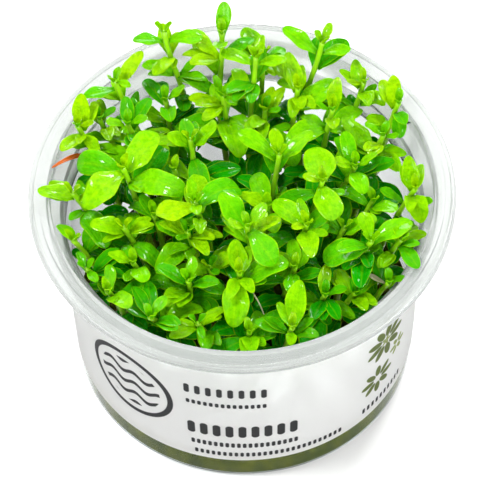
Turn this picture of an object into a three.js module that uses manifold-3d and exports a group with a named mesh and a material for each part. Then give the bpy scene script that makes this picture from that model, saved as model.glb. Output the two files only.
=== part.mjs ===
// Potted lemon bacopa: young shoots rooted in a disc of nutrient gel, in a round clear tub with a
// printed sleeve round its wall. Millimetres, +Z up, the origin at the middle of the underside.
import * as THREE from 'three';
import { mergeVertices } from 'three/addons/utils/BufferGeometryUtils.js';
import Module from 'manifold-3d';

const wasm = await Module();
wasm.setup();

// Driving sizes of the tub
const ROUND_STEPS = 36;
const RIM_RADIUS = 50.5;
const RIM_HEIGHT = 62;
const LIP_DEPTH = 2;
const LIP_ROUNDING = 0.6;
const SHEET = 0.9;
const COLLAR_RADIUS = 45.2;
const SHOULDER_RISE = 1.2;
const WALL_FOOT_RADIUS = 41;
const WALL_TOP_RADIUS = 43.2;
const WALL_TOP_HEIGHT = 56;
const FLOOR_HEIGHT = 1.8;
const FOOT_RING_RADIUS = 34;
const FOOT_RECESS = 0.8;
const FOOT_ROUNDING = 1.5;

// Driving sizes of the sleeve and the gel, and the play between pieces that touch
const GAP = 0.3;
const LABEL_THICKNESS = 0.3;
const LABEL_BOTTOM = 8.6;
const LABEL_TOP = 51.5;
const GEL_TOP = 12;
const ROOT_END = 5;

// Common measures of a shoot. Its leaf pairs are counted down from the tip: how far below the tip
// a pair sits, its leaves' length, and the slope of a leaf where it leaves the stem and at its end.
const STEM_SIDE = 1.5;
const STEM_CLEARANCE = 0.8;
const ROOT_SPREAD = 0.72;
const BEND_SHARE = 0.22;
const BOW = 2.0;
const NODE_HEIGHT = 1.2;
const BUD_SHARE = 0.6;
const BUD_POINT = 1.2;
const PAIRS = [
  { drop: 0.8, length: 5.0, rise: 72, droop: 44, stations: [0.5] },
  { drop: 3.0, length: 8.6, rise: 56, droop: -2, stations: [0.38, 0.8] },
  { drop: 7.4, length: 11.0, rise: 44, droop: -30, stations: [0.38, 0.8] },
  { drop: 13.4, length: 12.0, rise: 32, droop: -40, stations: [0.5] },
];
const HEAD_LEAN = 26;
const LOWEST_DROOP = -72;
const LEAF_BASE = 0.75;
const LEAF_CLEARANCE = 1.25;
const OWN_STEM_CLEARANCE = 1.5;
const OWN_STEM_FROM = 0.35;
const LEAST_AHEAD = 1.6;
const STEEPEST = 66;
const MOST_OFF_SIDE = 42;
const MIDRIB_DEPTH = 0.3;
const BASE_RIB_DEPTH = 0.5;
const HAND_CURL = 0.25;
const HAND_ROLL = 10;
const GOLDEN = (Math.sqrt(5) - 1) / 2;

// Each shoot: the place of its tip, the turn of its tip pair about Z, its leaf size and the length
// of its joints against the common ones. A leaf that grows in a way of its own is listed as
// pair, side, azimuth, length, width, rise and droop.
const SHOOTS = [
  { tip: [-4, 37, 76], turn: 0, size: 0.9, own: [
    [1, 0, 85, 9, 4, 78, 60], [1, 1, 265, 7, 4, 60, 20],
    [2, 1, 20, 7, 3.5, 60, 30], [3, 1, 139, 13, 5.5, 60, 15]] },
  { tip: [-18, 39, 74.5], turn: 90, size: 0.9, own: [
    [1, 0, 180, 7.5, 4, 30, -25], [1, 1, 0, 8.5, 4.5, 35, -15], [2, 1, 110, 9, 4.5, 75, 60]] },
  { tip: [-30, 28, 70], turn: -40, size: 0.9, joint: 0.9, own: [
    [1, 0, 50, 10, 4, 45, 25], [1, 1, 190, 8, 4, 20, -10], [2, 0, 150, 7, 4, 20, -20]] },
  { tip: [-39, 17, 67], turn: -5, size: 0.9, own: [
    [1, 0, 85, 9, 4.6, 60, 35], [2, 0, 160, 5, 4.5, 30, 10]] },
  { tip: [-40, -2, 66], turn: 80, own: [
    [1, 0, 172, 9, 5, 35, -5], [2, 1, 60, 8, 5, 40, 0]] },
  { tip: [-28, 2, 70], turn: -40, size: 1.2, joint: 0.8, own: [
    [1, 0, 50, 12, 7.5, 35, -10], [1, 1, 220, 13, 8, 20, -40]] },
  { tip: [-12, 10, 70], turn: -90, own: [
    [1, 0, 5, 9, 6, 65, 40], [1, 1, 175, 9, 6, 65, 40]] },
  { tip: [4, 31, 74], turn: 60, size: 0.9, joint: 0.9, own: [
    [1, 1, 0, 7, 4, 30, -10], [1, 0, 150, 8, 4.5, 40, 10], [2, 1, 60, 7, 4, 60, 45]] },
  { tip: [20, 35, 74], turn: 60, size: 0.9, joint: 1.1, own: [
    [1, 0, 150, 10, 5, 30, 10], [1, 1, 0, 7, 3.5, 30, -5],
    [2, 1, 25, 10, 6.5, 35, 10], [2, 0, 210, 11, 4.5, 60, 35]] },
  { tip: [38, 21, 68], turn: 0, size: 0.9, own: [
    [1, 0, 110, 8, 4, 70, 45], [1, 1, 280, 7, 4, 20, -40]] },
  { tip: [34, 13, 66], turn: -30, size: 0.9, own: [
    [1, 0, 95, 8, 5, 65, 40], [2, 0, 145, 12, 5.5, 60, 30]] },
  { tip: [22, 18, 70], turn: 0, size: 0.9, own: [
    [1, 0, 60, 9, 4, 50, 25], [2, 1, 20, 12, 6, 40, -20]] },
  { tip: [41, -3, 66], turn: 0, joint: 0.9, own: [
    [1, 0, 95, 9, 4.5, 70, 50], [1, 1, 285, 7, 5, 0, -50]] },
  { tip: [19, -3, 70], turn: 0, size: 1.15, joint: 0.8, own: [
    [1, 0, 95, 9, 8, 30, 0], [1, 1, 285, 9, 7, 10, -40]] },
  { tip: [9, 5, 70], turn: 90, own: [
    [1, 0, 150, 11, 5, 40, 5], [1, 1, 20, 10, 4.5, 40, 5], [2, 1, 65, 8, 5, 50, 20]] },
  { tip: [27, 4, 66], turn: 0, size: 1.1, joint: 0.8 },
  { tip: [1, -17, 72], turn: 30, size: 1.2, joint: 0.8, own: [
    [1, 0, 130, 10, 6.5, 40, 10], [1, 1, 310, 10, 7, 0, -40]] },
  { tip: [-11, -10, 72], turn: 100, size: 1.1, joint: 0.9, own: [
    [1, 1, 20, 13, 7, 45, -60], [1, 0, 190, 9, 6.5, 15, -20]] },
  { tip: [-13, -14, 66], turn: 60 },
  { tip: [-28, -11, 64], turn: 100, size: 0.9 },
  { tip: [-40, -13, 62], turn: 60 },
  { tip: [-32, -27, 61], turn: 20, joint: 0.9 },
  { tip: [-26, -19, 61], turn: 0 },
  { tip: [-13, -26, 63], turn: 60 },
  { tip: [-22, -34, 60], turn: 40, size: 1.1 },
  { tip: [-11, -36, 60], turn: 100, size: 0.8 },
  { tip: [-8, -20, 60], turn: 120 },
  { tip: [-1, -26, 66], turn: 0, joint: 0.9, own: [
    [1, 1, 270, 12, 7, 0, -60], [1, 0, 95, 8, 5, 50, 20]] },
  { tip: [15, -14, 68], turn: 30 },
  { tip: [12, -22, 62], turn: 160, size: 0.9 },
  { tip: [30, -18, 66], turn: 90, size: 1.2, joint: 0.8, own: [
    [1, 0, 200, 11, 8, 15, -35], [1, 1, 10, 11, 6, 30, -30]] },
  { tip: [37, -17, 65], turn: 60, joint: 0.9, own: [[1, 1, 300, 9, 4, 10, -45]] },
  { tip: [19, -28, 59], turn: 0 },
  { tip: [26, -27, 58], turn: 40 },
  { tip: [11, -39, 62], turn: 0, size: 0.9, joint: 0.8, own: [
    [1, 0, 60, 11, 5.5, 65, 35], [1, 1, 290, 7, 4, 20, -30], [2, 0, 165, 8, 4, 30, 0]] },
  { tip: [1, -38, 59], turn: 10, size: 0.9 },
  { tip: [24, -11, 62], turn: 70 },
  { tip: [31, -4, 63], turn: 30 },
  { tip: [-18, 28, 62], turn: 10 },
  { tip: [-27, 18, 66], turn: 0 },
  { tip: [-4, 26, 66], turn: 120 },
  { tip: [6, 23, 64], turn: 150 },
  { tip: [14, 26, 68], turn: 10, joint: 0.9, own: [[1, 0, 100, 10, 5, 70, 50]] },
  { tip: [-16, 5, 65], turn: 150 },
  { tip: [6, -6, 64], turn: 0, size: 1.1 },
  { tip: [-21, -6, 62], turn: 20 },
  { tip: [34, -25, 59], turn: 10, size: 0.9 },
  { tip: [-37, -20, 60], turn: 110, size: 0.9 },
  { tip: [-34, 22, 63], turn: 30, size: 0.9 },
  { tip: [30, 29, 66], turn: 20, size: 0.9 },
  { tip: [6, 38, 67], turn: 45, size: 0.9 },
];

const radians = THREE.MathUtils.degToRad;

// Outer radius of the wall, a cone that opens upwards from the foot.
function wallRadius(height) {
  const share = (height - FOOT_ROUNDING) / (WALL_TOP_HEIGHT - FOOT_ROUNDING);
  return WALL_FOOT_RADIUS + (WALL_TOP_RADIUS - WALL_FOOT_RADIUS) * share;
}

// A profile of radius and height turned about the Z axis.
function turned(profile) {
  const points = profile.map(([radius, height]) => new THREE.Vector2(radius, height));
  const geometry = new THREE.LatheGeometry(points, ROUND_STEPS);
  geometry.rotateX(Math.PI / 2);
  return geometry;
}

function toManifold(geometry) {
  const bare = geometry.clone();
  bare.deleteAttribute('normal');
  bare.deleteAttribute('uv');
  const merged = mergeVertices(bare, 1e-4);
  const triVerts = new Uint32Array(merged.index.array);
  const vertProperties = new Float32Array(merged.attributes.position.array);
  return new wasm.Manifold(new wasm.Mesh({ numProp: 3, vertProperties, triVerts }));
}

function fromManifold(solid) {
  const mesh = solid.getMesh();
  const geometry = new THREE.BufferGeometry();
  geometry.setAttribute('position', new THREE.BufferAttribute(mesh.vertProperties, 3));
  geometry.setIndex(new THREE.BufferAttribute(mesh.triVerts, 1));
  geometry.computeVertexNormals();
  return geometry;
}

// The tub: one moulded sheet, its foot ring, conical wall, stepped collar and flanged rim with
// a short turned-down lip.
function tubGeometry() {
  const ledge = WALL_TOP_HEIGHT + SHOULDER_RISE;
  const flangeUnder = RIM_HEIGHT - SHEET;
  return turned([
    [0, FOOT_RECESS],
    [FOOT_RING_RADIUS - FOOT_RECESS, FOOT_RECESS],
    [FOOT_RING_RADIUS, 0],
    [WALL_FOOT_RADIUS - FOOT_ROUNDING, 0],
    [WALL_FOOT_RADIUS, FOOT_ROUNDING],
    [WALL_TOP_RADIUS, WALL_TOP_HEIGHT],
    [COLLAR_RADIUS + SHEET, ledge],
    [COLLAR_RADIUS + SHEET, flangeUnder],
    [RIM_RADIUS - SHEET, flangeUnder],
    [RIM_RADIUS - SHEET, RIM_HEIGHT - LIP_DEPTH],
    [RIM_RADIUS, RIM_HEIGHT - LIP_DEPTH],
    [RIM_RADIUS, RIM_HEIGHT - LIP_ROUNDING],
    [RIM_RADIUS - LIP_ROUNDING, RIM_HEIGHT],
    [COLLAR_RADIUS, RIM_HEIGHT],
    [COLLAR_RADIUS, ledge + SHEET / 2],
    [WALL_TOP_RADIUS - SHEET, WALL_TOP_HEIGHT + SHEET / 2],
    [wallRadius(FLOOR_HEIGHT) - SHEET, FLOOR_HEIGHT],
    [0, FLOOR_HEIGHT],
  ]);
}

// The printed sleeve: a thin closed band round the wall.
function labelGeometry() {
  const low = wallRadius(LABEL_BOTTOM) + GAP;
  const high = wallRadius(LABEL_TOP) + GAP;
  return turned([
    [low, LABEL_BOTTOM],
    [low + LABEL_THICKNESS, LABEL_BOTTOM],
    [high + LABEL_THICKNESS, LABEL_TOP],
    [high, LABEL_TOP],
    [low, LABEL_BOTTOM],
  ]);
}

function rootPlace(shoot) {
  return [shoot.tip[0] * ROOT_SPREAD, shoot.tip[1] * ROOT_SPREAD];
}

// The nutrient gel: a disc that fills the foot of the tub, with a socket round each rooted stem.
function gelGeometry() {
  const bottom = FLOOR_HEIGHT + GAP;
  let gel = toManifold(turned([
    [0, bottom],
    [wallRadius(bottom) - SHEET - GAP, bottom],
    [wallRadius(GEL_TOP) - SHEET - GAP, GEL_TOP],
    [0, GEL_TOP],
  ]));
  const side = STEM_SIDE + 2 * GAP;
  const depth = GEL_TOP - ROOT_END + 2 * GAP;
  for (const shoot of SHOOTS) {
    const socket = new THREE.BoxGeometry(side, side, depth);
    socket.rotateZ(radians(shoot.turn));
    const [x, y] = rootPlace(shoot);
    socket.translate(x, y, ROOT_END - GAP + depth / 2);
    gel = gel.subtract(toManifold(socket));
  }
  return fromManifold(gel);
}

// A number from -1 to 1 that differs from leaf to leaf, by the golden-ratio sequence.
function spread(shoot, pair, side, measure) {
  const turnNumber = shoot * 37 + pair * 11 + side * 5 + measure * 3;
  return ((turnNumber * GOLDEN) % 1) * 2 - 1;
}

// The middle of a stem at a height: upright in the gel, then leaning out as the square of height
// and bowed aside as a squared sine.
function stemPoint(shoot, owner, height) {
  const share = Math.max(0, (height - GEL_TOP) / (shoot.tip[2] - GEL_TOP));
  const bend = ROOT_SPREAD + (1 - ROOT_SPREAD) * share * share;
  const free = Math.min(1, Math.max(0, (share - BEND_SHARE) / (1 - BEND_SHARE)));
  const bow = BOW * Math.sin(Math.PI * free) ** 2;
  return [
    shoot.tip[0] * bend + bow * spread(owner, 0, 0, 20),
    shoot.tip[1] * bend + bow * spread(owner, 0, 0, 21),
    height,
  ];
}

// The height of a pair of leaves on its stem.
function nodeHeight(shoot, owner, pair) {
  const stretch = pair ? 1 + 0.12 * spread(owner, pair, 0, 12) : 1;
  return shoot.tip[2] - PAIRS[pair].drop * (shoot.joint ?? 1) * stretch;
}

// Half the width of a leaf: a rounded oval, a little broader towards its base.
function halfWidth(leaf, along) {
  const swell = Math.sin(Math.PI * (0.06 + 0.94 * along));
  return (leaf.width / 2) * Math.sqrt(Math.max(0, swell));
}

// A point of a leaf, along from 0 at the stem to 1 at its tip, across from -1 to 1. The midrib is
// an arc whose slope changes evenly from rise to droop. The blade is curled up at its sides, and it
// rolls about the midrib evenly towards its tip.
function leafPoint(leaf, along, across, below = 0) {
  const start = radians(leaf.rise);
  const turn = radians(leaf.droop - leaf.rise);
  const slope = start + turn * along;
  const half = halfWidth(leaf, along);
  const roll = radians(leaf.roll) * along;
  const raised = leaf.curl * half * across * across - below;
  const lift = half * across * Math.sin(roll) + raised * Math.cos(roll);
  const out = LEAF_BASE + (leaf.length * (Math.sin(slope) - Math.sin(start))) / turn;
  const up = (-leaf.length * (Math.cos(slope) - Math.cos(start))) / turn;
  const reach = out - lift * Math.sin(slope);
  const heading = radians(leaf.azimuth);
  const aside = half * across * Math.cos(roll) - raised * Math.sin(roll);
  return [
    leaf.base[0] + reach * Math.cos(heading) - aside * Math.sin(heading),
    leaf.base[1] + reach * Math.sin(heading) + aside * Math.cos(heading),
    leaf.base[2] + up + lift * Math.cos(slope),
  ];
}

const SAMPLES_ALONG = 12;
const SAMPLES_ACROSS = 7;

function leafSamples(leaf) {
  const samples = [];
  for (let i = 0; i < SAMPLES_ALONG; i++) {
    const along = i / (SAMPLES_ALONG - 1);
    for (let j = 0; j < SAMPLES_ACROSS; j++) {
      const across = (2 * j) / (SAMPLES_ACROSS - 1) - 1;
      samples.push({ place: leafPoint(leaf, along, across), along });
    }
  }
  return samples;
}

// How far from the axis a leaf may reach: inside the wall, inside the collar, or within the rim.
// Only the leaves that are set by hand reach out over the rim.
const WALL_PLAY = 0.5;
const COLLAR_PLAY = 0.7;
const OVER_COLLAR = 0.3;
function roomAt(height, byHand) {
  const innerFoot = wallRadius(FLOOR_HEIGHT) - SHEET;
  const opening = (WALL_TOP_RADIUS - WALL_FOOT_RADIUS) / (WALL_TOP_HEIGHT - FOOT_ROUNDING);
  if (height < WALL_TOP_HEIGHT + 1.5) {
    return innerFoot + opening * (height - FLOOR_HEIGHT) - WALL_PLAY;
  }
  if (height < RIM_HEIGHT + 0.6) return COLLAR_RADIUS - COLLAR_PLAY;
  return byHand ? RIM_RADIUS - COLLAR_PLAY : COLLAR_RADIUS + OVER_COLLAR;
}

// Points of all that has grown so far, which every new leaf keeps clear of. It also stays in front
// of the side of the stem that it grows from.
const grown = [];

function isClear(samples, leaf, owner) {
  const frontX = Math.cos(radians(leaf.facing));
  const frontY = Math.sin(radians(leaf.facing));
  const places = samples.filter((sample) => sample.along > 1.5 / (SAMPLES_ALONG - 1));
  const low = [Infinity, Infinity, Infinity];
  const high = [-Infinity, -Infinity, -Infinity];
  for (const { place } of places) {
    if (Math.hypot(place[0], place[1]) > roomAt(place[2], leaf.byHand)) return false;
    for (let axis = 0; axis < 3; axis++) {
      low[axis] = Math.min(low[axis], place[axis] - 2.2);
      high[axis] = Math.max(high[axis], place[axis] + 2.2);
    }
  }
  const near = grown.filter((other) => {
    return other.place.every((value, axis) => value > low[axis] && value < high[axis]);
  });
  for (const { place, along } of places) {
    const ahead = (place[0] - leaf.base[0]) * frontX + (place[1] - leaf.base[1]) * frontY;
    if (along > OWN_STEM_FROM && ahead < LEAST_AHEAD) return false;
    for (const other of near) {
      const ownBase = other.owner === owner && other.along < 0.3;
      if (ownBase && along < OWN_STEM_FROM) continue;
      const dx = place[0] - other.place[0];
      const dy = place[1] - other.place[1];
      const dz = place[2] - other.place[2];
      const limit = ownBase ? OWN_STEM_CLEARANCE : LEAF_CLEARANCE + other.clearance;
      if (dx * dx + dy * dy + dz * dz < limit * limit) return false;
    }
  }
  return true;
}

// Ways for a leaf to give way to its neighbours: swing, tilt, and then stay smaller.
const SWINGS = [
  [0, 0], [12, 0], [-12, 0], [0, 14], [0, -14], [14, 14], [-14, 14], [14, -14], [-14, -14],
  [26, 0], [-26, 0], [0, 28], [0, -28], [26, 20], [-26, 20],
];
const SHRINKS = [1, 0.85, 0.7];

function settle(leaf, owner) {
  for (const shrink of SHRINKS) {
    for (const [swing, tilt] of SWINGS) {
      const offSide = ((leaf.azimuth + swing - leaf.facing + 540) % 360) - 180;
      if (Math.abs(offSide) > MOST_OFF_SIDE) continue;
      const tried = {
        ...leaf,
        azimuth: leaf.azimuth + swing,
        rise: Math.min(leaf.rise + tilt, STEEPEST),
        droop: Math.min(leaf.droop + tilt, STEEPEST - 4),
        length: leaf.length * shrink,
        width: leaf.width * shrink,
      };
      const samples = leafSamples(tried);
      if (!isClear(samples, leaf, owner)) continue;
      for (const { place, along } of samples) grown.push({ place, along, owner, clearance: 0 });
      return tried;
    }
  }
  return null;
}

// The leaf that a shoot would grow at a pair and side if it had room.
function wantedLeaf(shoot, owner, pair, side) {
  const common = PAIRS[pair];
  const base = stemPoint(shoot, owner, nodeHeight(shoot, owner, pair));
  const facing = shoot.turn + 90 * pair + 180 * side;
  const vary = (measure) => spread(owner, pair, side, measure);
  const own = (shoot.own ?? []).find((row) => row[0] === pair && row[1] === side);
  if (own) {
    const [, , azimuth, length, width, rise, droop] = own;
    const roll = HAND_ROLL * vary(13);
    return { base, facing, azimuth, length, width, rise, droop, curl: HAND_CURL, roll, byHand: true };
  }
  // The head of a shoot leans one way, so its leaves on that side hang and the others stand up.
  const lean = HEAD_LEAN * (0.6 + 0.4 * spread(owner, 0, 0, 23));
  const fromLean = radians(facing - 180 * spread(owner, 0, 0, 22));
  const length = common.length * (shoot.size ?? 1) * (1 + 0.24 * vary(2));
  return {
    base,
    facing,
    azimuth: facing + 26 * vary(1),
    length,
    width: length * (0.5 + 0.09 * vary(3)),
    rise: common.rise + 16 * vary(4) - lean * Math.cos(fromLean),
    droop: Math.max(LOWEST_DROOP, common.droop + 26 * vary(5) - lean * Math.cos(fromLean)),
    curl: 0.38 + 0.2 * vary(6),
    roll: 14 * vary(13) + 0.8 * lean * Math.sin(fromLean),
    byHand: false,
  };
}

// All leaves of all shoots, as settled[shoot][pair][side]: stems first, then the leaves that are
// set by hand, then pair by pair from the tips down.
function growLeaves() {
  SHOOTS.forEach((shoot, owner) => {
    for (let height = GEL_TOP; height < shoot.tip[2] + 0.5; height += 1) {
      const place = stemPoint(shoot, owner, height);
      grown.push({ place, along: 0, owner, clearance: STEM_CLEARANCE });
    }
  });
  const settled = SHOOTS.map(() => PAIRS.map(() => [null, null]));
  for (const byHand of [true, false]) {
    for (let pair = 0; pair < PAIRS.length; pair++) {
      SHOOTS.forEach((shoot, owner) => {
        for (const side of [0, 1]) {
          const leaf = wantedLeaf(shoot, owner, pair, side);
          if (leaf.byHand === byHand) settled[owner][pair][side] = settle(leaf, owner);
        }
      });
    }
  }
  return settled;
}

// A shoot is one body: a square-sided stem, in which a leaf grows out of a side at each node as
// a flat blade with a raised rib below.
function shootGeometry(shoot, owner, leaves) {
  const positions = [];
  const faces = [];
  const [rootX, rootY] = rootPlace(shoot);

  const addPoint = ([x, y, z]) => {
    positions.push(x - rootX, y - rootY, z);
    return positions.length / 3 - 1;
  };
  // The four corners of the stem at a height, drawn in at the bud. Side n looks along the turn of
  // the shoot plus 90 n.
  const addRing = (height) => {
    const [x, y] = stemPoint(shoot, owner, height);
    const reach = (STEM_SIDE / Math.SQRT2) * (height > shoot.tip[2] - 1 ? BUD_SHARE : 1);
    return [0, 1, 2, 3].map((corner) => {
      const heading = radians(shoot.turn + 90 * corner - 45);
      return addPoint([x + reach * Math.cos(heading), y + reach * Math.sin(heading), height]);
    });
  };
  const addQuad = (a, b, c, d) => faces.push(a, b, c, a, c, d);
  const addSide = (lower, upper, side) => {
    const next = (side + 1) % 4;
    addQuad(lower[side], lower[next], upper[next], upper[side]);
  };

  // Corners of a leaf's section: rib below, right edge, left edge.
  const addStation = (leaf, along, depth) => [
    addPoint(leafPoint(leaf, along, 0, depth)),
    addPoint(leafPoint(leaf, along, 1)),
    addPoint(leafPoint(leaf, along, -1)),
  ];
  const addLeaf = (leaf, lower, upper, side, stations) => {
    const next = (side + 1) % 4;
    let section = addStation(leaf, stations[0], BASE_RIB_DEPTH);
    const [rib, right, left] = section;
    faces.push(lower[side], lower[next], rib);
    addQuad(lower[next], upper[next], right, rib);
    addQuad(upper[next], upper[side], left, right);
    addQuad(lower[side], rib, left, upper[side]);
    for (const along of stations.slice(1)) {
      const outer = addStation(leaf, along, MIDRIB_DEPTH);
      for (let i = 0; i < 3; i++) {
        const j = (i + 1) % 3;
        addQuad(section[i], section[j], outer[j], outer[i]);
      }
      section = outer;
    }
    const tip = addPoint(leafPoint(leaf, 1, 0));
    for (let i = 0; i < 3; i++) faces.push(section[i], section[(i + 1) % 3], tip);
  };

  const bottom = addRing(ROOT_END);
  addQuad(bottom[3], bottom[2], bottom[1], bottom[0]);
  let below = addRing(GEL_TOP + BEND_SHARE * (shoot.tip[2] - GEL_TOP));
  for (let side = 0; side < 4; side++) addSide(bottom, below, side);
  for (let pair = PAIRS.length - 1; pair >= 0; pair--) {
    const node = nodeHeight(shoot, owner, pair);
    const lower = addRing(node - NODE_HEIGHT / 2);
    const upper = addRing(node + NODE_HEIGHT / 2);
    for (let side = 0; side < 4; side++) {
      addSide(below, lower, side);
      const leafSide = (side - pair + 4) % 4;
      const leaf = leafSide % 2 === 0 ? leaves[pair][leafSide / 2] : null;
      if (leaf) addLeaf(leaf, lower, upper, side, PAIRS[pair].stations);
      else addSide(lower, upper, side);
    }
    below = upper;
  }
  const [tipX, tipY, tipZ] = stemPoint(shoot, owner, shoot.tip[2]);
  const bud = addPoint([tipX, tipY, tipZ + BUD_POINT]);
  for (let side = 0; side < 4; side++) faces.push(below[side], below[(side + 1) % 4], bud);

  const geometry = new THREE.BufferGeometry();
  geometry.setAttribute('position', new THREE.Float32BufferAttribute(positions, 3));
  geometry.setIndex(faces);
  geometry.computeVertexNormals();
  return geometry;
}

function clearPlastic() {
  return new THREE.MeshStandardMaterial({
    color: 0xeef2f2,
    roughness: 0.12,
    metalness: 0,
    transparent: true,
    opacity: 0.35,
  });
}

function printedFilm() {
  return new THREE.MeshStandardMaterial({ color: 0xe8e8e8, roughness: 0.5, metalness: 0 });
}

function nutrientGel() {
  return new THREE.MeshStandardMaterial({ color: 0x7d8755, roughness: 0.25, metalness: 0 });
}

function leafGreen() {
  return new THREE.MeshStandardMaterial({ color: 0x7ccc10, roughness: 0.35, metalness: 0 });
}

function pieceOf(name, geometry, material) {
  const mesh = new THREE.Mesh(geometry, material);
  mesh.name = name;
  return mesh;
}

const part = new THREE.Group();
part.add(pieceOf('tub', tubGeometry(), clearPlastic()));
part.add(pieceOf('label_sleeve', labelGeometry(), printedFilm()));
part.add(pieceOf('nutrient_gel', gelGeometry(), nutrientGel()));

const settledLeaves = growLeaves();
SHOOTS.forEach((shoot, index) => {
  const name = `shoot_${String(index + 1).padStart(2, '0')}`;
  const mesh = pieceOf(name, shootGeometry(shoot, index, settledLeaves[index]), leafGreen());
  mesh.position.set(...rootPlace(shoot), 0);
  part.add(mesh);
});

export default part;
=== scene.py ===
"""Potted lemon bacopa: young shoots rooted in a disc of nutrient gel, in a round clear tub with a
printed sleeve. Metres, +Z up, the front of the sleeve faces -Y."""

from functools import partial
from math import radians

import bpy
import numpy as np
from mathutils import Matrix, Vector


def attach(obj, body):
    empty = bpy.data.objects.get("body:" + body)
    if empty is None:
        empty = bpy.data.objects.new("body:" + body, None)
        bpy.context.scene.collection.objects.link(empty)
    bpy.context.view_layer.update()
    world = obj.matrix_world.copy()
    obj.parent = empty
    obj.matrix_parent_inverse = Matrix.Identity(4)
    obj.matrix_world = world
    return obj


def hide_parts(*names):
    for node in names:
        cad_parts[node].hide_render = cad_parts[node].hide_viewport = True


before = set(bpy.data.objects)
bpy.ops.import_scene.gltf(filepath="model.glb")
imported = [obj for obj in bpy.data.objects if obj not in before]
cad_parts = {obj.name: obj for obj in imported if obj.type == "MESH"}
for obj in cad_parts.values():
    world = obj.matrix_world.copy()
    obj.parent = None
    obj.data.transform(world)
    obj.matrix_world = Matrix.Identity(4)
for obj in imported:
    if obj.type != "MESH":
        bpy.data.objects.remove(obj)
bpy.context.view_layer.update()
MM = 0.001


# The camera looks along +Y and down at the tub from a little under a metre away, as a packshot is
# taken, with a long lens and the slight roll that the picture has.
LENS_MM = 282.3
CAMERA_DISTANCE = 0.903
CAMERA_DROP = radians(54.84)
CAMERA_ROLL = radians(-1.254)
LOOK_AT = Vector((-0.00072, 0.0, 0.0417))

forward = Vector((0.0, np.cos(CAMERA_DROP), -np.sin(CAMERA_DROP)))
level_right = Vector((1.0, 0.0, 0.0))
level_up = Vector((0.0, np.sin(CAMERA_DROP), np.cos(CAMERA_DROP)))
right = level_right * np.cos(CAMERA_ROLL) + level_up * np.sin(CAMERA_ROLL)
up = level_up * np.cos(CAMERA_ROLL) - level_right * np.sin(CAMERA_ROLL)

camera = bpy.data.objects.new("camera", bpy.data.cameras.new("camera"))
camera.data.lens = LENS_MM
camera.data.clip_start = 0.05
camera.matrix_world = Matrix((
    (right.x, up.x, -forward.x, 0),
    (right.y, up.y, -forward.y, 0),
    (right.z, up.z, -forward.z, 0),
    (0, 0, 0, 1),
))
camera.location = LOOK_AT - forward * CAMERA_DISTANCE
bpy.context.scene.collection.objects.link(camera)
bpy.context.scene.camera = camera


# The studio is a white table under a bright even room. Three small soft boxes, at the upper left,
# behind and on the right, leave crisp glints on the wet leaves, and two broad low ones, in front
# and behind, light the sleeve. Each box: its name, place, side and power in watts.
ROOM_LIGHT = 0.75
FLOOR_WHITE = (0.78, 0.78, 0.78, 1.0)
HALF_TABLE = 2.0
SOFT_BOXES = (
    ("key_box", (-0.40, -0.10, 0.85), 0.20, 7.5),
    ("back_box", (0.30, 0.50, 0.80), 0.18, 4.8),
    ("side_box", (0.80, -0.25, 0.55), 0.28, 4.2),
    ("front_box", (0.05, -0.85, 0.40), 0.45, 5.0),
    ("low_back_box", (-0.05, 0.85, 0.34), 0.45, 5.2),
)

bpy.context.scene.view_settings.view_transform = "Standard"
room = bpy.data.worlds.new("white_room")
room.use_nodes = True
room.node_tree.nodes["Background"].inputs["Color"].default_value = (1.0, 1.0, 1.0, 1.0)
room.node_tree.nodes["Background"].inputs["Strength"].default_value = ROOM_LIGHT
bpy.context.scene.world = room

for box_name, place, size, watts in SOFT_BOXES:
    lamp = bpy.data.lights.new(box_name, "AREA")
    lamp.shape = "SQUARE"
    lamp.size = size
    lamp.energy = watts
    box = bpy.data.objects.new(box_name, lamp)
    box.location = place
    box.rotation_euler = (LOOK_AT - Vector(place)).to_track_quat("-Z", "Y").to_euler()
    bpy.context.scene.collection.objects.link(box)


def plain_material(name, colour, **sockets):
    """A Principled material whose other sockets are set by name, with spaces for underscores."""
    material = bpy.data.materials.new(name)
    material.use_nodes = True
    shader = material.node_tree.nodes["Principled BSDF"]
    shader.inputs["Base Color"].default_value = colour
    for socket, value in sockets.items():
        shader.inputs[socket.replace("_", " ")].default_value = value
    return material


floor_mesh = bpy.data.meshes.new("table_top")
floor_mesh.from_pydata(
    [(-HALF_TABLE, -HALF_TABLE, 0), (HALF_TABLE, -HALF_TABLE, 0),
     (HALF_TABLE, HALF_TABLE, 0), (-HALF_TABLE, HALF_TABLE, 0)], [], [(0, 1, 2, 3)])
floor_mesh.materials.append(plain_material("table_white", FLOOR_WHITE, Roughness=0.6))
floor = bpy.data.objects.new("table_top", floor_mesh)
bpy.context.scene.collection.objects.link(floor)


# The tub is one vacuum-formed sheet of clear plastic, 0.9 mm thick and thinner at the foot: a foot
# ring round a raised panel, a wall that opens upwards, a step out to the collar, and a flanged rim
# with a shallow channel for the lid and a turned-down lip. It is milky where it was bent most.
SHEET = 0.9
WALL_FOOT_RADIUS, WALL_TOP_RADIUS = 41.0, 43.2
FOOT_ROUNDING, WALL_TOP_HEIGHT = 1.5, 56.0
MILKY_FROM, WETTED_TO = 50.0, 12.4
CLEAR_TINT = (0.92, 0.955, 0.96, 1.0)
MILKY_TINT = (0.508, 0.527, 0.513, 1.0)
CORNER_RADIUS = 0.35
CORNER_STEPS, ROUND_STEPS = 4, 192
TUB_CREASE = radians(50)

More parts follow.
